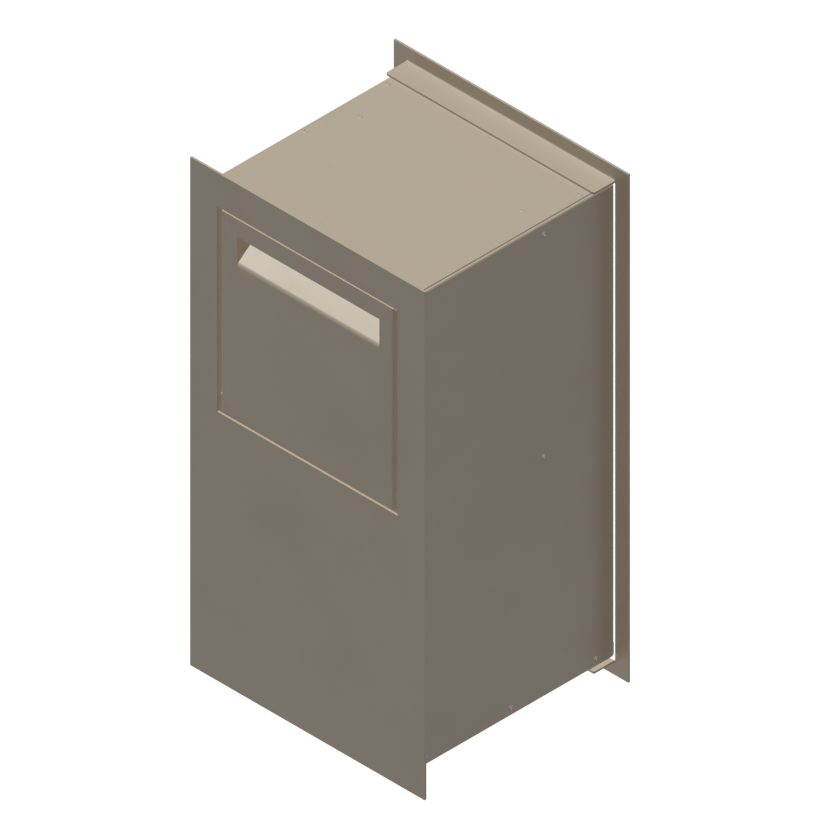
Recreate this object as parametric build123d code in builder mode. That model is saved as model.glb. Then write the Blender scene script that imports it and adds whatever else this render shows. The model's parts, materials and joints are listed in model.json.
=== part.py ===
from build123d import *
import os
from math import cos, radians, sin, sqrt, tan

# A book drop box that is built through a wall. A flanged front plate carries a tip-out
# hopper door, a riveted sheet body holds the books behind it, a lockable door empties it
# from the rear, and a loose trim frame slides over the body to cover the wall's inner face.
#
# Frame: millimetres, +X to the right as seen from the street, +Y from the front plate to
# the rear door, +Z up. The origin lies on the level of the two plates' lower edges, under
# the middle of the whole object.

# ---------------------------------------------------------------- driving dimensions
plate_width = 436
plate_height = 818
plate_gauge = 3.4          # front plate and trim frame
body_width = 381
body_height = 762
overall_depth = 400        # front plate to the tip of the rear door's pull
body_depth = 380.3         # front plate's front face to the body's rear end
body_lift = 30             # body's lower edge above the plates' lower edges
sheet = 2.0                # body, baffle, wings, tray and rear door
bend = 2.8                 # outside radius of a fold in that sheet
fit_gap = 0.1              # between two sheets that nest
wall_grip = 378.6          # front plate's front face to the trim frame's front face

opening_width = 335.4
opening_height = 330.4
opening_margin = 54.3      # front plate above the hopper opening
door_side_gap = 6.2
door_top_gap = 2.3
door_bottom_gap = 5.15
door_sheet = 2.5
door_bend = 4.8
hopper_travel = 45         # degrees that the hopper door tips out

rear_opening_side = 165.5  # half the rear doorway's width
rear_opening_low = 60
rear_opening_high = 762
rear_door_gap = 2.5

# ---------------------------------------------------------------- derived positions
front = -overall_depth / 2
rear = front + body_depth
pull_reach = overall_depth - body_depth
plate_back = front + plate_gauge
body_top = body_lift + body_height
body_side = body_width / 2
inner_side = body_side - sheet

opening_top = plate_height - opening_margin
opening_bottom = opening_top - opening_height
door_top = opening_top - door_top_gap
door_bottom = opening_bottom + door_bottom_gap
door_side = opening_width / 2 - door_side_gap

pivot_y = front + 14
pivot_z = door_bottom + 12


# ---------------------------------------------------------------- shared shapes
def folded_sheet(plane, corners, length, thickness=sheet, radius=bend):
    """A strip folded along its outer corners, with its thickness on the path's left."""
    with BuildPart() as strip:
        with BuildSketch(plane):
            with BuildLine():
                FilletPolyline(*corners, radius=radius)
                offset(amount=thickness, side=Side.LEFT)
            make_face()
        extrude(amount=length)
    return strip.part


def block(low, high):
    """A plain block between two corners."""
    size = [b - a for a, b in zip(low, high)]
    middle = tuple((a + b) / 2 for a, b in zip(low, high))
    with BuildPart() as solid:
        with Locations(middle):
            Box(*size)
    return solid.part


def bores(seats, radius, depth):
    """Round cutters from just above each seat down to a depth below it."""
    with BuildPart() as cutters:
        with Locations(*[seat.offset(1).location for seat in seats]):
            Cylinder(radius, depth + 1, align=(Align.CENTER, Align.CENTER, Align.MAX))
    return cutters.part


def at_seats(piece, seats):
    """A copy of a piece, drawn about the origin, on every seat."""
    with BuildPart() as group:
        with Locations(*[seat.location for seat in seats]):
            add(piece)
    return group.part


def write(part, name):
    """Labels a finished piece and writes it to its own file."""
    part.label = name
    export_step(part, f"parts/{name}.step")


# ---------------------------------------------------------------- blind rivets
rivet_head_radius = 4
rivet_head_height = 1.9
rivet_shank_radius = 2
rivet_hole_radius = 2.05
rivet_tail_radius = 3
rivet_tail_length = 3.5
mandrel_radius = 1.15
mandrel_depth = 1.5
rivet_cut = 6              # deeper than any stack of sheets that a rivet joins


def blind_rivet(grip):
    """A set rivet: low dome with the mandrel's dimple, shank, and bulb behind the sheets."""
    with BuildPart() as rivet:
        with BuildSketch(Plane.XZ):
            with BuildLine():
                Polyline(
                    (0, rivet_head_height),
                    (0, -grip - rivet_tail_length),
                    (rivet_tail_radius * 0.6, -grip - rivet_tail_length),
                    (rivet_tail_radius, -grip - rivet_tail_length / 2),
                    (rivet_tail_radius, -grip),
                    (rivet_shank_radius, -grip),
                    (rivet_shank_radius, 0),
                    (rivet_head_radius, 0),
                )
                ThreePointArc(
                    (rivet_head_radius, 0),
                    (rivet_head_radius * 0.55, rivet_head_height * 0.74),
                    (0, rivet_head_height),
                )
            make_face()
        revolve(axis=Axis.Z)
        with Locations((0, 0, rivet_head_height)):
            Cylinder(mandrel_radius, 2 * mandrel_depth, mode=Mode.SUBTRACT)
    return rivet.part


baffle_mid = front + 248.3
top_rivet_rows = [front + 20.5, front + 174, front + 327]
foot_rivet_rows = [front + 28.6, front + 187, front + 345.4]
lap_rivet_inset = 12.3
foot_rivet_rise = 11.5
baffle_rivet_inset = 40
baffle_rivet_drops = [18.6, 376.7]

lap_rivet_seats = [
    Plane(origin=(hand * (body_side - lap_rivet_inset), y, body_top))
    for hand in (-1, 1)
    for y in top_rivet_rows
]
baffle_top_seats = [
    Plane(origin=(hand * (body_side - baffle_rivet_inset), baffle_mid, body_top))
    for hand in (-1, 1)
]
foot_rivet_seats = [
    Plane(origin=(hand * body_side, y, body_lift + foot_rivet_rise), z_dir=(hand, 0, 0))
    for hand in (-1, 1)
    for y in foot_rivet_rows
]
baffle_side_seats = [
    Plane(origin=(hand * body_side, baffle_mid, body_top - drop), z_dir=(hand, 0, 0))
    for hand in (-1, 1)
    for drop in baffle_rivet_drops
]

# ---------------------------------------------------------------- weld studs and nuts
stud_radius = 2.45
stud_length = 13
stud_hole_radius = 3
stud_cut = 8               # deeper than the sheets on a stud
nut_thickness = 4
nut_flats = 8
nut_bore = 2.5
bracket_gauge = 3
stud_side = body_side - 10
stud_top = body_top - 15
stud_foot = body_lift + 16
stud_across = 100
bracket_stud_side = 150
bracket_stud_heights = [opening_bottom - 37, opening_bottom - 15]

side_stud_places = [(h * stud_side, z) for h in (-1, 1) for z in (90, 290, 490, 690)]
top_stud_places = [(h * stud_across, stud_top) for h in (-1, 1)]
foot_stud_places = [(h * stud_across, stud_foot) for h in (-1, 1)]
bracket_stud_places = [(h * bracket_stud_side, z) for h in (-1, 1) for z in bracket_stud_heights]


def seats_on_plate_back(places):
    """Seats on the front plate's rear face that look into the body."""
    return [Plane(origin=(x, plate_back, z), z_dir=(0, 1, 0)) for x, z in places]


def stud_bores(places):
    """Cutters through whatever lies on the front plate at these places."""
    seats = seats_on_plate_back(places)
    return bores([seat.offset(stud_cut - 1) for seat in seats], stud_hole_radius, stud_cut)


# ================================================================ fixed body
# Front plate: one flat plate with the hopper opening.
with BuildPart() as front_plate:
    with BuildSketch(Plane.XZ.offset(-front)):
        with Locations((0, plate_height / 2)):
            Rectangle(plate_width, plate_height)
        with Locations((0, (opening_top + opening_bottom) / 2)):
            Rectangle(opening_width, opening_height, mode=Mode.SUBTRACT)
    extrude(amount=-plate_gauge)

# Side panel: a web with flanges at the front, the rear and the top.
front_flange = 20
rear_flange = body_side - rear_opening_side
top_flange = 22
relief = 3                 # open corner where two folds would meet
flange_foot = body_lift + 21
web_end = rear - 1         # the web below the rear flange, which is not folded
web_corner = 2.5
lap_level = body_top - sheet

with BuildPart() as side_panel_blank:
    add(folded_sheet(
        Plane.XY.offset(flange_foot),
        [
            (body_side - front_flange, plate_back),
            (body_side, plate_back),
            (body_side, rear),
            (body_side - rear_flange, rear),
        ],
        lap_level - relief - flange_foot,
    ))
    add(folded_sheet(
        Plane.XZ.offset(relief - rear),
        [
            (body_side, lap_level - 40),
            (body_side, lap_level),
            (body_side - top_flange, lap_level),
        ],
        rear - plate_back - 2 * relief,
    ))
    with BuildSketch(Plane.YZ.offset(inner_side)):
        with BuildLine():
            Polyline(
                (plate_back + relief, flange_foot + 1),
                (plate_back + relief, body_lift),
                (web_end - web_corner, body_lift),
                (web_end, body_lift + web_corner),
                (web_end, flange_foot + 1),
                close=True,
            )
        make_face()
    extrude(amount=sheet)
    add(bores([s for s in lap_rivet_seats if s.origin.X > 0], rivet_hole_radius, rivet_cut),
        mode=Mode.SUBTRACT)
    side_seats = [s for s in foot_rivet_seats + baffle_side_seats if s.origin.X > 0]
    add(bores(side_seats, rivet_hole_radius, rivet_cut), mode=Mode.SUBTRACT)
    add(stud_bores([p for p in side_stud_places if p[0] > 0]), mode=Mode.SUBTRACT)

# Lock strike: an angle on the left side panel that the rear door's cam turns behind.
lock_x = -140
lock_z = 400
strike_face = rear - 15.6
strike_reach = 22
strike_height = 60
strike_rivet_y = rear - 34
strike_seats = [
    Plane(origin=(-body_side, strike_rivet_y, lock_z + dz), z_dir=(-1, 0, 0))
    for dz in (-16, 16)
]

with BuildPart() as left_side_panel:
    mirror(side_panel_blank.part, about=Plane.YZ)
    add(bores(strike_seats, rivet_hole_radius, rivet_cut), mode=Mode.SUBTRACT)

with BuildPart() as lock_strike:
    add(folded_sheet(
        Plane.XY.offset(lock_z - strike_height / 2),
        [
            (strike_reach - inner_side, strike_face),
            (-inner_side, strike_face),
            (-inner_side, strike_face - 30),
        ],
        strike_height,
    ))
    add(bores(strike_seats, rivet_hole_radius, rivet_cut), mode=Mode.SUBTRACT)

# Top panel: laps on the side panels' top flanges and turns down at the front and rear.
web_half = rear_opening_side - rear_door_gap     # turned-down flanges clear the side folds
top_panel_side = body_side - 4
front_turndown = 22

with BuildPart() as top_panel:
    add(folded_sheet(
        Plane.YZ.offset(-web_half),
        [
            (rear, rear_opening_high),
            (rear, body_top),
            (plate_back, body_top),
            (plate_back, lap_level - front_turndown),
        ],
        2 * web_half,
    ))
    for hand in (-1, 1):
        near, far = sorted((hand * (web_half - 1), hand * top_panel_side))
        add(block((near, plate_back, lap_level), (far, rear, body_top)))
    add(bores(lap_rivet_seats + baffle_top_seats, rivet_hole_radius, rivet_cut), mode=Mode.SUBTRACT)
    add(stud_bores(top_stud_places), mode=Mode.SUBTRACT)

# Bottom tray: a pan that closes the foot of the body between the side panels.
tray_side = inner_side - fit_gap
tray_wall = body_lift + 22
tray_front_wall = body_lift + 26

with BuildPart() as bottom_tray:
    add(folded_sheet(
        Plane.XZ.offset(relief + bend - rear),
        [
            (-tray_side, tray_wall),
            (-tray_side, body_lift),
            (tray_side, body_lift),
            (tray_side, tray_wall),
        ],
        rear - plate_back - 2 * (relief + bend),
    ))
    add(folded_sheet(
        Plane.YZ.offset(-web_half),
        [
            (plate_back, tray_front_wall),
            (plate_back, body_lift),
            (rear, body_lift),
            (rear, rear_opening_low),
        ],
        2 * web_half,
    ))
    add(bores(foot_rivet_seats, rivet_hole_radius, rivet_cut), mode=Mode.SUBTRACT)
    add(stud_bores(foot_stud_places), mode=Mode.SUBTRACT)

# Baffle: hangs across the body behind the hopper, so that books drop straight down.
baffle_back = baffle_mid + 11
baffle_front = baffle_mid - 9
baffle_foot = 396
baffle_shoulder = lap_level - 6   # below the side panels' top flanges
baffle_lip = 12

with BuildPart() as baffle:
    add(folded_sheet(
        Plane.XY.offset(baffle_foot + bend),
        [
            (tray_side, baffle_front),
            (tray_side, baffle_back),
            (-tray_side, baffle_back),
            (-tray_side, baffle_front),
        ],
        baffle_shoulder - baffle_foot - bend,
    ))
    add(folded_sheet(
        Plane.YZ.offset(-web_half),
        [
            (baffle_back, baffle_shoulder - 20),
            (baffle_back, lap_level),
            (baffle_front, lap_level),
        ],
        2 * web_half,
    ))
    add(folded_sheet(
        Plane.YZ.offset(-web_half),
        [
            (baffle_back - baffle_lip, baffle_foot),
            (baffle_back, baffle_foot),
            (baffle_back, baffle_foot + 20),
        ],
        2 * web_half,
    ))
    add(bores(baffle_top_seats, rivet_hole_radius, rivet_cut), mode=Mode.SUBTRACT)
    add(bores(baffle_side_seats, rivet_hole_radius, rivet_cut), mode=Mode.SUBTRACT)

# Rain lip: an angle behind the opening's top edge, with the gasket that the door meets.
lip_face = plate_back + sheet
lip_half = 150
lip_foot = door_top - 10
lip_top = lap_level - 4
gasket_height = 5.5
gasket_clearance = 0.3

with BuildPart() as rain_lip:
    add(folded_sheet(
        Plane.YZ.offset(-lip_half),
        [(lip_face + 12, lip_top), (lip_face, lip_top), (lip_face, lip_foot)],
        2 * lip_half,
    ))
    add(stud_bores(top_stud_places), mode=Mode.SUBTRACT)

with BuildPart() as lip_gasket:
    add(block(
        (2 - lip_half, front + door_sheet + gasket_clearance, lip_foot),
        (lip_half - 2, lip_face, lip_foot + gasket_height),
    ))
    fillet(lip_gasket.edges().filter_by(Axis.X).group_by(Axis.Y)[0], 0.8)

# Hopper pivot: a rod in two bracket ears behind the opening's lower corners.
ear_inner = door_side + 1.5
ear_outer = ear_inner + bracket_gauge
ear_depth = 26
bracket_foot = opening_bottom - 45
bracket_base_top = opening_bottom - 7
ear_round = 12
rod_radius = 4
rod_clearance = 0.05
rod_half = 172
clip_place = ear_outer + 0.3
clip_thickness = 1
clip_groove_radius = 3.2
clip_radius = 7

with BuildPart() as right_hinge_bracket:
    add(folded_sheet(
        Plane.XY.offset(bracket_foot),
        [
            (ear_outer - ear_depth, plate_back),
            (ear_outer, plate_back),
            (ear_outer, plate_back + ear_depth),
        ],
        pivot_z + ear_round - bracket_foot,
        thickness=bracket_gauge,
        radius=bracket_gauge + 1,
    ))
    add(block(
        (ear_outer - ear_depth - 1, plate_back - 1, bracket_base_top),
        (ear_inner, plate_back + ear_depth, pivot_z + ear_round + 1),
    ), mode=Mode.SUBTRACT)
    ear_corner = right_hinge_bracket.edges().filter_by(Axis.X).group_by(Axis.Z)[-1]
    fillet(ear_corner.sort_by(Axis.Y)[-1], ear_round / 2)
    with BuildSketch(Plane.YZ.offset(ear_inner - 1)):
        with Locations((pivot_y, pivot_z)):
            Circle(rod_radius + rod_clearance)
    extrude(amount=bracket_gauge + 2, mode=Mode.SUBTRACT)
    add(stud_bores([p for p in bracket_stud_places if p[0] > 0]), mode=Mode.SUBTRACT)

with BuildPart() as left_hinge_bracket:
    mirror(right_hinge_bracket.part, about=Plane.YZ)

with BuildPart() as hinge_rod:
    with BuildSketch(Plane.YZ.offset(-rod_half)):
        with Locations((pivot_y, pivot_z)):
            Circle(rod_radius)
    extrude(amount=2 * rod_half)
    chamfer(hinge_rod.edges().filter_by(GeomType.CIRCLE), 0.6)
    for hand in (-1, 1):
        groove_start = min(hand * clip_place, hand * (clip_place + clip_thickness))
        with BuildSketch(Plane.YZ.offset(groove_start)):
            with Locations((pivot_y, pivot_z)):
                Circle(rod_radius + 1)
                Circle(clip_groove_radius, mode=Mode.SUBTRACT)
        extrude(amount=clip_thickness, mode=Mode.SUBTRACT)

with BuildPart() as rod_clips:
    for hand in (-1, 1):
        clip_start = min(hand * clip_place, hand * (clip_place + clip_thickness))
        with BuildSketch(Plane.YZ.offset(clip_start)):
            with Locations((pivot_y, pivot_z)):
                Circle(clip_radius)
                Circle(clip_groove_radius, mode=Mode.SUBTRACT)
            with Locations((pivot_y, pivot_z - clip_radius)):
                Rectangle(clip_groove_radius, 2 * clip_radius, mode=Mode.SUBTRACT)
        extrude(amount=clip_thickness)

# Studs are welded to the front plate's rear face, so its front shows no fastener.
with BuildPart() as stud:
    Cylinder(stud_radius, stud_length, align=(Align.CENTER, Align.CENTER, Align.MIN))
    chamfer(stud.edges().filter_by(GeomType.CIRCLE).sort_by(Axis.Z)[-1], 0.6)

with BuildPart() as stud_nut:
    with BuildSketch():
        RegularPolygon(nut_flats / 2, 6, major_radius=False)
        Circle(nut_bore, mode=Mode.SUBTRACT)
    extrude(amount=nut_thickness)

nut_levels = [
    (side_stud_places + foot_stud_places, sheet),
    (top_stud_places, 2 * sheet),
    (bracket_stud_places, bracket_gauge),
]
all_stud_places = [place for places, _ in nut_levels for place in places]
nut_seats = [
    seat.offset(level)
    for places, level in nut_levels
    for seat in seats_on_plate_back(places)
]
front_studs = at_seats(stud.part, seats_on_plate_back(all_stud_places))
front_nuts = at_seats(stud_nut.part, nut_seats)

# ================================================================ hopper
# Hopper door: flat face, sides turned back, and a hand slot whose lower edge is a tab
# folded inwards and up.
return_depth = 20
return_drop = 2.5          # the returns stop short of the face's top edge
slot_width = 265
slot_shift = 1.4           # the slot sits slightly right of the door's middle
slot_top = door_top - 28.7
slot_sill = door_top - 76.3
tab_angle = 39             # above horizontal
tab_length = 32
tab_bend = 8
tab_relief = 0.6
flange_start = pivot_z + 14

tab_tangent = tab_bend * tan(radians((90 - tab_angle) / 2))
tab_run = tab_tangent + tab_length
tab_corner = (front, slot_sill + tab_tangent)
tab_tip = (
    front + tab_run * cos(radians(tab_angle)),
    tab_corner[1] + tab_run * sin(radians(tab_angle)),
)

wing_outer = door_side - door_sheet - 0.05
wing_inner = wing_outer - sheet
door_rivet_heights = [pivot_z + dz for dz in (40, 150, 260)]
door_rivet_seats = [
    Plane(origin=(hand * door_side, pivot_y, z), z_dir=(hand, 0, 0))
    for hand in (-1, 1)
    for z in door_rivet_heights
]

with BuildPart() as hopper_door:
    add(folded_sheet(
        Plane.XY.offset(door_bottom),
        [
            (-door_side, front + return_depth),
            (-door_side, front),
            (door_side, front),
            (door_side, front + return_depth),
        ],
        door_top - door_bottom,
        thickness=door_sheet,
        radius=door_bend,
    ))
    add(block(
        (-door_side - 1, front + door_bend + fit_gap, door_bottom - 1),
        (door_side + 1, front + return_depth + 1, flange_start),
    ), mode=Mode.SUBTRACT)
    for hand in (-1, 1):
        near, far = sorted((hand * (door_side - door_bend), hand * (door_side + 1)))
        add(block(
            (near, front + door_sheet, door_top - return_drop),
            (far, front + return_depth + 1, door_top + 1),
        ), mode=Mode.SUBTRACT)
    add(block(
        (slot_shift - slot_width / 2, front - 1, slot_sill),
        (slot_shift + slot_width / 2, front + door_sheet + 1, slot_top),
    ), mode=Mode.SUBTRACT)
    add(folded_sheet(
        Plane.YZ.offset(slot_shift - slot_width / 2 + tab_relief),
        [tab_tip, tab_corner, (front, slot_sill - 2)],
        slot_width - 2 * tab_relief,
        thickness=door_sheet,
        radius=tab_bend,
    ))
    add(bores(door_rivet_seats, rivet_hole_radius, rivet_cut), mode=Mode.SUBTRACT)

# Hopper tray: the chute that the books slide off, level when the door is open. Its own
# plane runs down the slope, with local y square to the sheet and pointing below it.
tray_start = (-9.3, 23.4)  # upper edge from the pivot
slope = radians(45)
chute_length = 150
chute_half = wing_inner - 0.35
chute_wall = 15
chute_wall_start = 39
chute = Plane(
    origin=(0, pivot_y + tray_start[0], pivot_z + tray_start[1]),
    x_dir=(1, 0, 0),
    z_dir=(0, cos(slope), -sin(slope)),
)
chute_rivet_places = [(9, 58), (9, 138)]
chute_rivet_seats = [
    Plane(
        origin=chute.from_local_coords(Vector(hand * wing_outer, drop, along)),
        z_dir=(hand, 0, 0),
    )
    for hand in (-1, 1)
    for drop, along in chute_rivet_places
]

weight_half = 140
weight_start = 88
weight_end = 146
weight_thickness = 22
screw_side = 90
screw_radius = 3
screw_head_radius = 6
screw_head_depth = 3
screw_length = 22
screw_slack = 0.05
weight_middle = (weight_start + weight_end) / 2
screw_seats = [
    Plane(
        origin=chute.from_local_coords(Vector(hand * screw_side, 0, weight_middle)),
        x_dir=(1, 0, 0),
        z_dir=-chute.y_dir,
    )
    for hand in (-1, 1)
]


def countersunk_screw(slack):
    """A flush screw pointing down from the origin, thinner than its hole by the slack."""
    with BuildPart() as screw:
        with BuildSketch(Plane.XZ):
            with BuildLine():
                Polyline(
                    (0, 0),
                    (screw_head_radius - slack, 0),
                    (screw_radius - slack, -screw_head_depth),
                    (screw_radius - slack, -screw_length + slack),
                    (0, -screw_length + slack),
                    close=True,
                )
            make_face()
        revolve(axis=Axis.Z)
    return screw.part


def chute_block(low, high):
    """A block given in the chute's own plane."""
    with BuildPart() as solid:
        with BuildSketch(chute.offset(low[2])):
            with Locations(((low[0] + high[0]) / 2, (low[1] + high[1]) / 2)):
                Rectangle(high[0] - low[0], high[1] - low[1])
        extrude(amount=high[2] - low[2])
    return solid.part


with BuildPart() as hopper_tray:
    add(folded_sheet(
        chute.offset(chute_wall_start),
        [(-chute_half, chute_wall), (-chute_half, 0), (chute_half, 0), (chute_half, chute_wall)],
        chute_length - chute_wall_start,
    ))
    add(chute_block((-chute_half, 0, 0), (chute_half, sheet, chute_wall_start + bend)))
    add(bores(chute_rivet_seats, rivet_hole_radius, rivet_cut), mode=Mode.SUBTRACT)
    add(at_seats(countersunk_screw(0), screw_seats), mode=Mode.SUBTRACT)

# Counterweight: a steel bar under the chute's end that brings the door shut.
with BuildPart() as counterweight:
    add(chute_block(
        (-weight_half, sheet, weight_start),
        (weight_half, sheet + weight_thickness, weight_end),
    ))
    add(at_seats(countersunk_screw(0), screw_seats), mode=Mode.SUBTRACT)

with BuildPart() as counterweight_screws:
    add(at_seats(countersunk_screw(screw_slack), screw_seats))

# Wing: a cheek on each side of the chute. Its rear upper ear meets the pad behind the
# front plate when the door is fully out.
wing_radius = 311
wing_front = -9
ear_radius = 326
pad_thickness = 3
pad_face = lip_face + pad_thickness
ear_gap = 0.4
ear_start = radians(hopper_travel) - (pivot_y - pad_face - ear_gap) / ear_radius
ear_end = radians(hopper_travel + 1.7)
wing_bush_radius = 6


def from_pivot(radius, angle):
    """A point at a radius from the pivot, with the angle measured from straight up."""
    return (pivot_y + radius * sin(angle), pivot_z + radius * cos(angle))


def on_chute(drop, along):
    """A point of the chute's own plane, as (y, z)."""
    point = chute.from_local_coords(Vector(0, drop, along))
    return (point.Y, point.Z)


wing_top = sqrt(wing_radius**2 - wing_front**2)
wing_corner = (pivot_y + wing_front, pivot_z + wing_top)

with BuildPart() as right_wing:
    with BuildSketch(Plane.YZ.offset(wing_inner)):
        with BuildLine():
            ThreePointArc(
                wing_corner,
                from_pivot(wing_radius, ear_start / 2),
                from_pivot(wing_radius, ear_start),
            )
            Line(from_pivot(wing_radius, ear_start), from_pivot(ear_radius, ear_start))
            ThreePointArc(
                from_pivot(ear_radius, ear_start),
                from_pivot(ear_radius, (ear_start + ear_end) / 2),
                from_pivot(ear_radius, ear_end),
            )
            Polyline(
                from_pivot(ear_radius, ear_end),
                from_pivot(wing_radius - 14, ear_end),
                on_chute(0, chute_length + 2),
                on_chute(chute_wall + 2, chute_length + 2),
                on_chute(chute_wall + 2, chute_wall_start - 4),
                (pivot_y + wing_front, pivot_z - 10),
                wing_corner,
            )
        make_face()
        with Locations((pivot_y, pivot_z)):
            Circle(wing_bush_radius, mode=Mode.SUBTRACT)
    extrude(amount=sheet)
    wing_seats = [s for s in door_rivet_seats + chute_rivet_seats if s.origin.X > 0]
    add(bores(wing_seats, rivet_hole_radius, rivet_cut), mode=Mode.SUBTRACT)

with BuildPart() as left_wing:
    mirror(right_wing.part, about=Plane.YZ)

# Flanged bushes carry the wings on the rod.
bush_flange_radius = 8
bush_flange = 3.7
bush_inside = 1

with BuildPart() as pivot_bushes:
    for hand in (-1, 1):
        barrel = sorted((hand * (wing_inner - bush_inside), hand * wing_outer))
        collar = sorted((hand * wing_outer, hand * (wing_outer + bush_flange)))
        for (start, end), radius in (
            (barrel, wing_bush_radius - rod_clearance),
            (collar, bush_flange_radius),
        ):
            with BuildSketch(Plane.YZ.offset(start)):
                with Locations((pivot_y, pivot_z)):
                    Circle(radius)
                    Circle(rod_radius + rod_clearance, mode=Mode.SUBTRACT)
            extrude(amount=end - start)

# Pads behind the front plate that the wings' ears meet.
pad_half_width = 4
pad_foot = lap_level - front_turndown
pad_height = 12

with BuildPart() as stop_pads:
    for hand in (-1, 1):
        middle = hand * (wing_inner + wing_outer) / 2
        add(block(
            (middle - pad_half_width, lip_face, pad_foot),
            (middle + pad_half_width, pad_face, pad_foot + pad_height),
        ))
    fillet(stop_pads.faces().group_by(Axis.Y)[-1].edges(), 0.8)

# ================================================================ rear door
hinge_x = rear_opening_side - rear_door_gap / 2
knuckle_radius = 3
leaf_thickness = 1.5
hinge_pin_radius = 1.5
hinge_bore = hinge_pin_radius + 0.05
hinge_y = rear + knuckle_radius
hinge_low = 81
hinge_high = 741
knuckle_count = 22
knuckle_gap = 0.4
knuckle_clearance = 0.4
leaf_width = 18
knuckle_pitch = (hinge_high - hinge_low) / knuckle_count
leaf_rivet_heights = [111, 261, 411, 561, 711]
leaf_middle = knuckle_radius + leaf_width / 2
lock_hole_radius = 9.6

fixed_leaf_seats = [
    Plane(origin=(hinge_x + leaf_middle, rear + leaf_thickness, z), z_dir=(0, 1, 0))
    for z in leaf_rivet_heights
]
moving_leaf_seats = [
    Plane(origin=(hinge_x - leaf_middle, rear + leaf_thickness, z), z_dir=(0, 1, 0))
    for z in leaf_rivet_heights
]
pull_low = 440
pull_high = 520
pull_gauge = 1.5
pull_side = -157.5
pull_rivet_seats = [
    Plane(origin=(pull_side + 12, rear + pull_gauge, z), z_dir=(0, 1, 0))
    for z in (pull_low + 18, pull_high - 18)
]


def hinge_leaf(hand, first_knuckle):
    """A piano hinge's leaf on one side of its pin, with every second knuckle."""
    flat_start = knuckle_radius + knuckle_clearance
    flat = sorted((hinge_x + hand * flat_start, hinge_x + hand * (knuckle_radius + leaf_width)))
    with BuildPart() as leaf:
        add(block((flat[0], rear, hinge_low), (flat[1], rear + leaf_thickness, hinge_high)))
        for index in range(first_knuckle, knuckle_count, 2):
            low = hinge_low + index * knuckle_pitch + knuckle_gap / 2
            high = low + knuckle_pitch - knuckle_gap
            with BuildSketch(Plane.XY.offset(low)):
                with Locations((hinge_x, hinge_y)):
                    Circle(knuckle_radius)
                with Locations((hinge_x + hand * flat_start / 2, rear + leaf_thickness / 2)):
                    Rectangle(flat_start + 0.2, leaf_thickness)
            extrude(amount=high - low)
        with BuildSketch(Plane.XY.offset(hinge_low - 1)):
            with Locations((hinge_x, hinge_y)):
                Circle(hinge_bore)
        extrude(amount=hinge_high - hinge_low + 2, mode=Mode.SUBTRACT)
    return leaf.part


with BuildPart() as rear_hinge_fixed_leaf:
    add(hinge_leaf(1, 0))
    add(bores(fixed_leaf_seats, rivet_hole_radius, rivet_cut), mode=Mode.SUBTRACT)

with BuildPart() as rear_hinge_moving_leaf:
    add(hinge_leaf(-1, 1))
    add(bores(moving_leaf_seats, rivet_hole_radius, rivet_cut), mode=Mode.SUBTRACT)

with BuildPart() as rear_hinge_pin:
    with BuildSketch(Plane.XY.offset(hinge_low - 1)):
        with Locations((hinge_x, hinge_y)):
            Circle(hinge_pin_radius)
    extrude(amount=hinge_high - hinge_low + 2)

with BuildPart() as right_side_panel:
    add(side_panel_blank.part)
    add(bores(fixed_leaf_seats, rivet_hole_radius, rivet_cut), mode=Mode.SUBTRACT)

# Rear door: a shallow pan in the doorway, flush with the body's rear end.
door_pan_depth = 16
pan_side = rear_opening_side - rear_door_gap
pan_low = rear_opening_low + rear_door_gap
pan_high = rear_opening_high - rear_door_gap

with BuildPart() as rear_door:
    add(block((-pan_side, rear - door_pan_depth, pan_low), (pan_side, rear, pan_high)))
    fillet(rear_door.edges().filter_by(Axis.Y), bend)
    fillet(rear_door.faces().sort_by(Axis.Y)[-1].edges(), bend)
    offset(amount=-sheet, openings=rear_door.faces().sort_by(Axis.Y)[0])
    add(bores(moving_leaf_seats, rivet_hole_radius, rivet_cut), mode=Mode.SUBTRACT)
    add(bores(pull_rivet_seats, rivet_hole_radius, rivet_cut), mode=Mode.SUBTRACT)
    with BuildSketch(Plane.XZ.offset(-rear - 1)):
        with Locations((lock_x, lock_z)):
            Circle(lock_hole_radius)
    extrude(amount=sheet + 2, mode=Mode.SUBTRACT)

with BuildPart() as door_pull:
    add(folded_sheet(
        Plane.XY.offset(pull_low),
        [
            (pull_side + 8, rear + pull_reach),
            (pull_side, rear + pull_reach),
            (pull_side, rear),
            (pull_side + 22, rear),
        ],
        pull_high - pull_low,
        thickness=pull_gauge,
        radius=pull_gauge + 1,
    ))
    fillet(door_pull.edges().filter_by(Axis.Y).group_by(Axis.X)[0], 0.4)
    add(bores(pull_rivet_seats, rivet_hole_radius, rivet_cut), mode=Mode.SUBTRACT)

# Cam lock: a housing in the door, a keyed plug that turns in it, and the cam on the plug.
housing_radius = 9.5
housing_head_radius = 11.5
housing_head = 4
housing_depth = 18
lock_nut_flats = 24
lock_nut_height = 4
plug_radius = 6
plug_clearance = 0.05
plug_stand = 0.4
key_width = 1.6
key_height = 8
key_depth = 7
cam_gap = 0.4
cam_gauge = 2
cam_width = 16
cam_reach = 42
shank_square = 6
shank_clearance = 0.1
cam_nut_flats = 10
cam_nut_bore = 3
cam_nut_height = 4
cam_face = rear - housing_depth - cam_gap
cam_back = cam_face - cam_gauge


def lock_disc(radius, start, end, bore=0):
    """A round piece on the lock's axis between two depths."""
    with BuildPart() as disc:
        with BuildSketch(Plane.XZ.offset(-end)):
            with Locations((lock_x, lock_z)):
                Circle(radius)
                if bore:
                    Circle(bore, mode=Mode.SUBTRACT)
        extrude(amount=end - start)
    return disc.part


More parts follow.
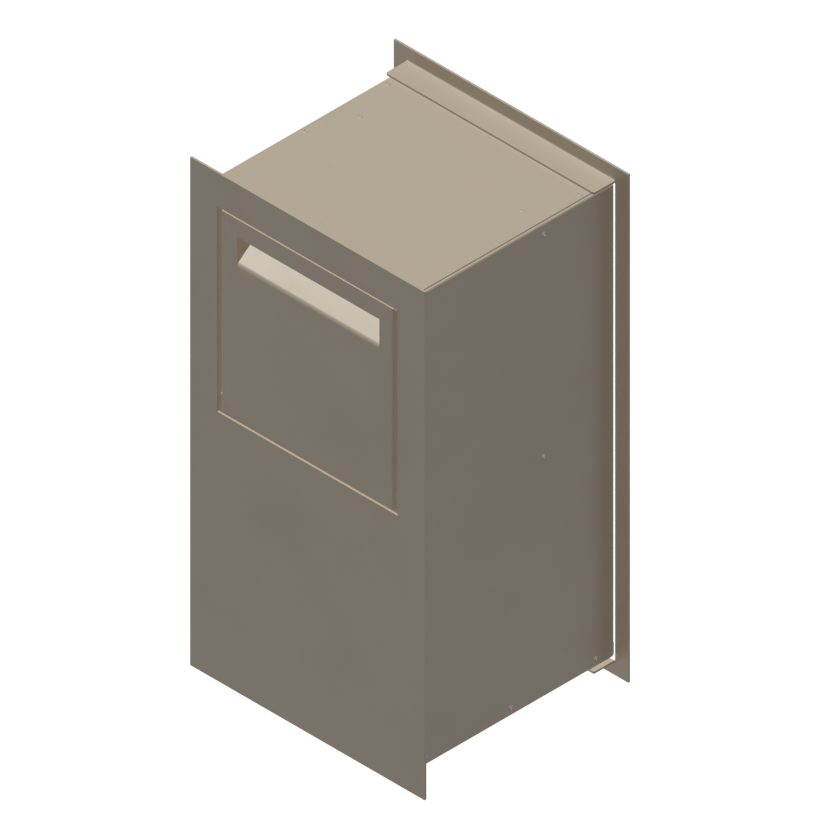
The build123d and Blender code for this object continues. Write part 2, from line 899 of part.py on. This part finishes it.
with BuildPart() as lock_housing:
    add(lock_disc(housing_radius, rear - housing_depth, rear))
    add(lock_disc(housing_head_radius, rear, rear + housing_head))
    head_rim = lock_housing.edges().filter_by(GeomType.CIRCLE).group_by(Axis.Y)[-1]
    chamfer(head_rim, 1)
    add(lock_disc(plug_radius + plug_clearance, rear - housing_depth - 1, rear + 6),
        mode=Mode.SUBTRACT)

with BuildPart() as lock_nut:
    with BuildSketch(Plane.XZ.offset(sheet - rear)):
        with Locations((lock_x, lock_z)):
            RegularPolygon(lock_nut_flats / 2, 6, major_radius=False)
            Circle(housing_radius + plug_clearance, mode=Mode.SUBTRACT)
    extrude(amount=lock_nut_height)

with BuildPart() as lock_plug:
    add(lock_disc(plug_radius, rear - housing_depth - cam_gap, rear + housing_head + plug_stand))
    with BuildSketch(Plane.XZ.offset(-cam_face)):
        with Locations((lock_x, lock_z)):
            Rectangle(shank_square, shank_square)
    extrude(amount=cam_gauge)
    add(lock_disc(cam_nut_bore - plug_clearance, cam_back - cam_nut_height - 1.5, cam_back))
    with BuildSketch(Plane.XZ.offset(-rear - housing_head - plug_stand)):
        with Locations((lock_x, lock_z)):
            Rectangle(key_width, key_height)
    extrude(amount=key_depth, mode=Mode.SUBTRACT)

with BuildPart() as lock_cam:
    with BuildSketch(Plane.XZ.offset(-cam_face)):
        with Locations((lock_x, lock_z + cam_reach / 2 - cam_width / 4)):
            SlotOverall(cam_reach + cam_width / 2, cam_width, rotation=90)
        with Locations((lock_x, lock_z)):
            square = shank_square + 2 * shank_clearance
            Rectangle(square, square, mode=Mode.SUBTRACT)
    extrude(amount=cam_gauge)

with BuildPart() as cam_nut:
    with BuildSketch(Plane.XZ.offset(-cam_back)):
        with Locations((lock_x, lock_z)):
            RegularPolygon(cam_nut_flats / 2, 6, major_radius=False)
            Circle(cam_nut_bore, mode=Mode.SUBTRACT)
    extrude(amount=cam_nut_height)

# ================================================================ interior trim frame
trim_face = front + wall_grip
trim_back = trim_face + plate_gauge
trim_opening_side = 193.5
trim_gap_over = 0.8
trim_gap_under = 5.2
trim_reach = 39.4
trim_bend = 6.2
trim_corner = 3
trim_high = body_top + trim_gap_over
trim_low = body_lift - trim_gap_under
trim_edge = trim_face - trim_reach

with BuildPart() as trim_frame:
    with BuildSketch(Plane.XZ.offset(-trim_back)):
        with Locations((0, plate_height / 2)):
            Rectangle(plate_width, plate_height)
        hole_low = trim_low - trim_bend
        hole_high = trim_high + trim_bend
        with Locations((0, (hole_low + hole_high) / 2)):
            Rectangle(2 * trim_opening_side, hole_high - hole_low, mode=Mode.SUBTRACT)
    extrude(amount=plate_gauge)
    for path in (
        [(trim_edge, trim_high), (trim_back, trim_high), (trim_back, hole_high + 4)],
        [(trim_back, hole_low - 4), (trim_back, trim_low), (trim_edge, trim_low)],
    ):
        add(folded_sheet(
            Plane.YZ.offset(-trim_opening_side),
            path,
            2 * trim_opening_side,
            thickness=plate_gauge,
            radius=trim_bend,
        ))
    free_corners = trim_frame.edges().filter_by(Axis.Z).group_by(Axis.Y)[0]
    fillet(free_corners, trim_corner)

# ================================================================ rivet groups
lap_grip = 2 * sheet
nested_grip = 2 * sheet + fit_gap
door_grip = door_side - wing_inner
chute_grip = wing_outer - chute_half + sheet

rivet_groups = {
    "top_rivets": (lap_grip, lap_rivet_seats + baffle_top_seats),
    "side_rivets": (nested_grip, foot_rivet_seats + baffle_side_seats),
    "strike_rivets": (lap_grip, strike_seats),
    "rear_hinge_frame_rivets": (leaf_thickness + sheet, fixed_leaf_seats),
    "wing_rivets": (door_grip, door_rivet_seats),
    "tray_rivets": (chute_grip, chute_rivet_seats),
    "rear_hinge_door_rivets": (leaf_thickness + sheet, moving_leaf_seats),
    "pull_rivets": (pull_gauge + sheet, pull_rivet_seats),
}

# ================================================================ files
os.makedirs("parts", exist_ok=True)

write(front_plate.part, "front_plate")
write(left_side_panel.part, "left_side_panel")
write(right_side_panel.part, "right_side_panel")
write(top_panel.part, "top_panel")
write(bottom_tray.part, "bottom_tray")
write(baffle.part, "baffle")
write(rain_lip.part, "rain_lip")
write(lip_gasket.part, "lip_gasket")
write(stop_pads.part, "stop_pads")
write(left_hinge_bracket.part, "left_hinge_bracket")
write(right_hinge_bracket.part, "right_hinge_bracket")
write(hinge_rod.part, "hinge_rod")
write(rod_clips.part, "rod_clips")
write(front_studs, "front_studs")
write(front_nuts, "front_nuts")
write(lock_strike.part, "lock_strike")
write(rear_hinge_fixed_leaf.part, "rear_hinge_fixed_leaf")
write(rear_hinge_pin.part, "rear_hinge_pin")

write(hopper_door.part, "hopper_door")
write(left_wing.part, "left_wing")
write(right_wing.part, "right_wing")
write(hopper_tray.part, "hopper_tray")
write(counterweight.part, "counterweight")
write(counterweight_screws.part, "counterweight_screws")
write(pivot_bushes.part, "pivot_bushes")

write(rear_door.part, "rear_door")
write(rear_hinge_moving_leaf.part, "rear_hinge_moving_leaf")
write(door_pull.part, "door_pull")
write(lock_housing.part, "lock_housing")
write(lock_nut.part, "lock_nut")

write(lock_plug.part, "lock_plug")
write(lock_cam.part, "lock_cam")
write(cam_nut.part, "cam_nut")

write(trim_frame.part, "trim_frame")

for name, (grip, seats) in rivet_groups.items():
    write(at_seats(blind_rivet(grip), seats), name)
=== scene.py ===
import json
import math

import bpy
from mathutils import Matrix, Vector

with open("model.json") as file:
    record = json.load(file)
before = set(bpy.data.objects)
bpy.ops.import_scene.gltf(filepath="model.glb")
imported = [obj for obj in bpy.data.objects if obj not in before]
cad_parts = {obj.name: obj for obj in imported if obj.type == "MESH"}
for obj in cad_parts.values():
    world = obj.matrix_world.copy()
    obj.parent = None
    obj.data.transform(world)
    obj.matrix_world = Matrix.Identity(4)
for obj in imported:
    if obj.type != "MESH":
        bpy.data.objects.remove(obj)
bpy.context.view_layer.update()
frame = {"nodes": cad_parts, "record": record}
nodes = frame["nodes"]

# ---------------------------------------------------------------- colours, as linear light
PAINT = (0.395, 0.336, 0.258)
PAINT_DUST = (0.455, 0.395, 0.315)
PAINT_DEEP = (0.345, 0.292, 0.222)
ZINC = (0.60, 0.61, 0.62)
ZINC_DULL = (0.46, 0.46, 0.45)
CHROME = (0.66, 0.66, 0.67)
CHROME_DULL = (0.52, 0.52, 0.52)
RUBBER = (0.022, 0.021, 0.020)
RUBBER_BLOOM = (0.060, 0.058, 0.055)
BLACK = (0.028, 0.027, 0.026)
BLACK_WORN = (0.060, 0.058, 0.056)
NYLON = (0.62, 0.59, 0.52)
NYLON_DULL = (0.50, 0.47, 0.40)
FLOOR = (0.93, 0.93, 0.93)
FLOOR_DULL = (0.90, 0.90, 0.90)
WORLD = (0.98, 0.99, 1.0, 1.0)

WORLD_STRENGTH = 0.045
FLOOR_HALF = 8.0           # metres
FLOOR_LEVEL = -0.0002      # just under the plates' lower edges
VIEW_DISTANCE = 6.0
VIEW_SCALE = 1.0937        # height of the camera's view, in metres

# Each sun's name, direction from the object, strength, and angular size in degrees.
SUNS = (
    ("overhead_key", (0.222, -0.075, 0.810), 0.843, 12.0),
    ("front_left", (-0.577, -0.446, 0.685), 0.44, 16.0),
    ("rear_fill", (-0.5, 0.8, 0.05), 0.34, 20.0),
    ("floor_bounce", (0.0, 0.0, -1.0), 0.16, 20.0),
)


# ---------------------------------------------------------------- node helpers
class Tree:
    """Makes one material's node tree and keeps its links short to write."""

    def __init__(self, name):
        self.material = bpy.data.materials.new(name)
        self.material.use_nodes = True
        self.nodes = self.material.node_tree.nodes
        self.links = self.material.node_tree.links
        self.shader = self.nodes["Principled BSDF"]
        coordinates = self.nodes.new("ShaderNodeTexCoord")
        self.position = coordinates.outputs["Object"]

    def link(self, source, target):
        self.links.new(source, target)

    def noise(self, size, detail=3.0, roughness=0.55, stretch=None):
        """Noise whose features are about one size across, in metres."""
        texture = self.nodes.new("ShaderNodeTexNoise")
        texture.inputs["Scale"].default_value = 1.0 / size
        texture.inputs["Detail"].default_value = detail
        texture.inputs["Roughness"].default_value = roughness
        start = self.position
        if stretch:
            mapping = self.nodes.new("ShaderNodeMapping")
            mapping.inputs["Scale"].default_value = stretch
            self.link(start, mapping.inputs["Vector"])
            start = mapping.outputs["Vector"]
        self.link(start, texture.inputs["Vector"])
        return texture.outputs["Fac"]

    def grain(self, size):
        """Cells of about one size across, in metres."""
        texture = self.nodes.new("ShaderNodeTexVoronoi")
        texture.feature = "SMOOTH_F1"
        texture.inputs["Scale"].default_value = 1.0 / size
        texture.inputs["Smoothness"].default_value = 0.6
        self.link(self.position, texture.inputs["Vector"])
        return texture.outputs["Distance"]

    def span(self, value, low, high, to_low, to_high):
        """Maps a value from one range to another, clamped."""
        node = self.nodes.new("ShaderNodeMapRange")
        node.clamp = True
        self.link(value, node.inputs["Value"])
        for name, number in (
            ("From Min", low), ("From Max", high), ("To Min", to_low), ("To Max", to_high)
        ):
            node.inputs[name].default_value = number
        return node.outputs["Result"]

    def mix(self, factor, first, second):
        """Mixes two colours, each a tuple or a socket."""
        node = self.nodes.new("ShaderNodeMix")
        node.data_type = "RGBA"
        self.link(factor, node.inputs["Factor"])
        colour_sockets = (node.inputs[6], node.inputs[7])
        for socket, colour in zip(colour_sockets, (first, second)):
            if isinstance(colour, tuple):
                socket.default_value = (*colour, 1.0)
            else:
                self.link(colour, socket)
        return node.outputs[2]

    def combine(self, operation, first, second):
        """One arithmetic step on two values."""
        node = self.nodes.new("ShaderNodeMath")
        node.operation = operation
        for socket, value in zip(node.inputs, (first, second)):
            if isinstance(value, float):
                socket.default_value = value
            else:
                self.link(value, socket)
        return node.outputs["Value"]

    def bump(self, height, depth, strength=1.0):
        """Raises the surface by a height between 0 and 1 times a depth in metres."""
        node = self.nodes.new("ShaderNodeBump")
        node.inputs["Strength"].default_value = strength
        node.inputs["Distance"].default_value = depth
        self.link(height, node.inputs["Height"])
        self.link(node.outputs["Normal"], self.shader.inputs["Normal"])

    def surface(self, **values):
        """Sets sockets of the shader to plain numbers or links them to values."""
        for name, value in values.items():
            socket = self.shader.inputs[name.replace("_", " ")]
            if isinstance(value, (int, float)):
                socket.default_value = value
            elif isinstance(value, tuple):
                socket.default_value = (*value, 1.0)
            else:
                self.link(value, socket)
        return self.material


# ---------------------------------------------------------------- materials
def powder_coat(name, wear=0.0):
    """Satin powder coat: fine orange peel, faint cloudiness, a little dust that has settled."""
    tree = Tree(name)
    clouds = tree.noise(0.16, detail=4.0)
    speck = tree.noise(0.0011, detail=2.0, roughness=0.7)
    dusty = tree.noise(0.034, detail=5.0, roughness=0.65)
    cloudy = tree.span(clouds, 0.32, 0.68, 0.0, 0.30)
    tone = tree.mix(cloudy, PAINT, PAINT_DEEP)
    speckled = tree.mix(tree.span(speck, 0.58, 0.78, 0.0, 0.22), tone, PAINT_DUST)
    colour = tree.mix(tree.span(dusty, 0.60, 0.86, 0.0, 0.20 + wear), speckled, PAINT_DUST)
    peel = tree.combine("ADD", tree.noise(0.0021, detail=1.5), tree.grain(0.0034))
    tree.bump(peel, 0.00006, strength=0.55)
    rough = tree.span(tree.combine("ADD", clouds, speck), 0.7, 1.3, 0.36, 0.46)
    return tree.surface(
        Base_Color=colour, Roughness=rough, Specular_IOR_Level=0.40, Coat_Weight=0.10,
        Coat_Roughness=0.30,
    )


def zinc_plate(name, lay):
    """Bright zinc on steel, with fine drawing lines along the stretched axis."""
    tree = Tree(name)
    lines = tree.noise(0.0009, detail=3.0, stretch=lay)
    bloom = tree.noise(0.011, detail=4.0, roughness=0.6)
    colour = tree.mix(tree.span(bloom, 0.40, 0.72, 0.0, 1.0), ZINC, ZINC_DULL)
    rough = tree.span(tree.combine("ADD", lines, bloom), 0.7, 1.3, 0.26, 0.46)
    tree.bump(lines, 0.00003, strength=0.5)
    return tree.surface(Base_Color=colour, Roughness=rough, Metallic=1.0)


def rubber(name):
    """Matt black rubber with a fine moulded grain and a trace of bloom."""
    tree = Tree(name)
    bloom = tree.noise(0.006, detail=4.0)
    colour = tree.mix(tree.span(bloom, 0.45, 0.8, 0.0, 0.5), RUBBER, RUBBER_BLOOM)
    tree.bump(tree.noise(0.0006, detail=2.0), 0.00004, strength=0.6)
    rough = tree.span(bloom, 0.3, 0.7, 0.74, 0.88)
    return tree.surface(Base_Color=colour, Roughness=rough, Specular_IOR_Level=0.3)


def black_paint(name):
    """Matt black paint brushed on a steel bar, worn a little paler in patches."""
    tree = Tree(name)
    patches = tree.noise(0.014, detail=4.0)
    colour = tree.mix(tree.span(patches, 0.45, 0.8, 0.0, 0.6), BLACK, BLACK_WORN)
    tree.bump(tree.noise(0.0016, detail=2.0), 0.00005, strength=0.5)
    rough = tree.span(patches, 0.3, 0.7, 0.55, 0.72)
    return tree.surface(Base_Color=colour, Roughness=rough, Specular_IOR_Level=0.35)


def nylon(name):
    """Natural nylon, slightly uneven in tone."""
    tree = Tree(name)
    cloud = tree.noise(0.004, detail=3.0)
    colour = tree.mix(tree.span(cloud, 0.35, 0.7, 0.0, 1.0), NYLON, NYLON_DULL)
    tree.bump(tree.noise(0.0007, detail=1.5), 0.00003, strength=0.5)
    rough = tree.span(cloud, 0.3, 0.7, 0.42, 0.55)
    return tree.surface(Base_Color=colour, Roughness=rough)


def polished_plate(name):
    """Chrome plating with the finest turning marks and a few handling marks."""
    tree = Tree(name)
    marks = tree.noise(0.0025, detail=6.0, roughness=0.7)
    rough = tree.span(marks, 0.35, 0.75, 0.09, 0.24)
    colour = tree.mix(tree.span(marks, 0.5, 0.8, 0.0, 1.0), CHROME, CHROME_DULL)
    tree.bump(tree.noise(0.0005, detail=2.0), 0.00001, strength=0.4)
    return tree.surface(Base_Color=colour, Roughness=rough, Metallic=1.0)


materials = {
    "front_paint": powder_coat("front_powder_coat"),
    "body_paint": powder_coat("body_powder_coat", wear=0.05),
    "zinc_steel": zinc_plate("zinc_plate", (1.0, 1.0, 0.06)),
    "black_paint": black_paint("black_paint"),
    "rubber": rubber("moulded_rubber"),
    "nylon": nylon("natural_nylon"),
    "chrome": polished_plate("polished_plate"),
}

slot_of = {s["node"]: s["material_slot"] for s in frame["record"]["subparts"]}
for name, piece in nodes.items():
    piece.data.materials.clear()
    piece.data.materials.append(materials[slot_of[name]])

# ---------------------------------------------------------------- floor
floor_mesh = bpy.data.meshes.new("studio_floor")
floor_corners = [
    (x * FLOOR_HALF, y * FLOOR_HALF, FLOOR_LEVEL)
    for x, y in ((-1, -1), (1, -1), (1, 1), (-1, 1))
]
floor_mesh.from_pydata(floor_corners, [], [(0, 1, 2, 3)])
floor = bpy.data.objects.new("studio_floor", floor_mesh)
bpy.context.scene.collection.objects.link(floor)
floor.visible_diffuse = False
floor_tree = Tree("studio_floor")
floor_tone = floor_tree.mix(
    floor_tree.span(floor_tree.noise(0.9, detail=3.0), 0.35, 0.65, 0.0, 1.0),
    FLOOR, FLOOR_DULL,
)
floor_mesh.materials.append(floor_tree.surface(Base_Color=floor_tone, Roughness=0.9))

# ---------------------------------------------------------------- light
world = bpy.data.worlds.new("studio")
bpy.context.scene.world = world
world.use_nodes = True
world.node_tree.nodes["Background"].inputs["Color"].default_value = WORLD
world.node_tree.nodes["Background"].inputs["Strength"].default_value = WORLD_STRENGTH


def sun(name, source, strength, softness):
    """A distant light in a direction from the object, which casts no shadow."""
    data = bpy.data.lights.new(name, "SUN")
    data.energy = strength * math.pi
    data.use_shadow = False
    data.angle = math.radians(softness)
    lamp = bpy.data.objects.new(name, data)
    lamp.rotation_mode = "QUATERNION"
    lamp.rotation_quaternion = (-Vector(source)).to_track_quat("-Z", "Y")
    bpy.context.scene.collection.objects.link(lamp)


for row in SUNS:
    sun(*row)

# ---------------------------------------------------------------- camera
view_azimuth = math.radians(45.0)
view_elevation = math.asin(1.0 / math.sqrt(3.0))
target = Vector((0.0, 0.002, 0.409))
back = Vector((
    math.sin(view_azimuth) * math.cos(view_elevation),
    -math.cos(view_azimuth) * math.cos(view_elevation),
    math.sin(view_elevation),
))
camera_data = bpy.data.cameras.new("camera")
camera_data.type = "ORTHO"
camera_data.ortho_scale = VIEW_SCALE
camera = bpy.data.objects.new("camera", camera_data)
camera.location = target + back * VIEW_DISTANCE
camera.rotation_mode = "QUATERNION"
camera.rotation_quaternion = (-back).to_track_quat("-Z", "Y")
bpy.context.scene.collection.objects.link(camera)
bpy.context.scene.camera = camera

bpy.context.scene.view_settings.view_transform = "Standard"
bpy.context.scene.view_settings.look = "None"
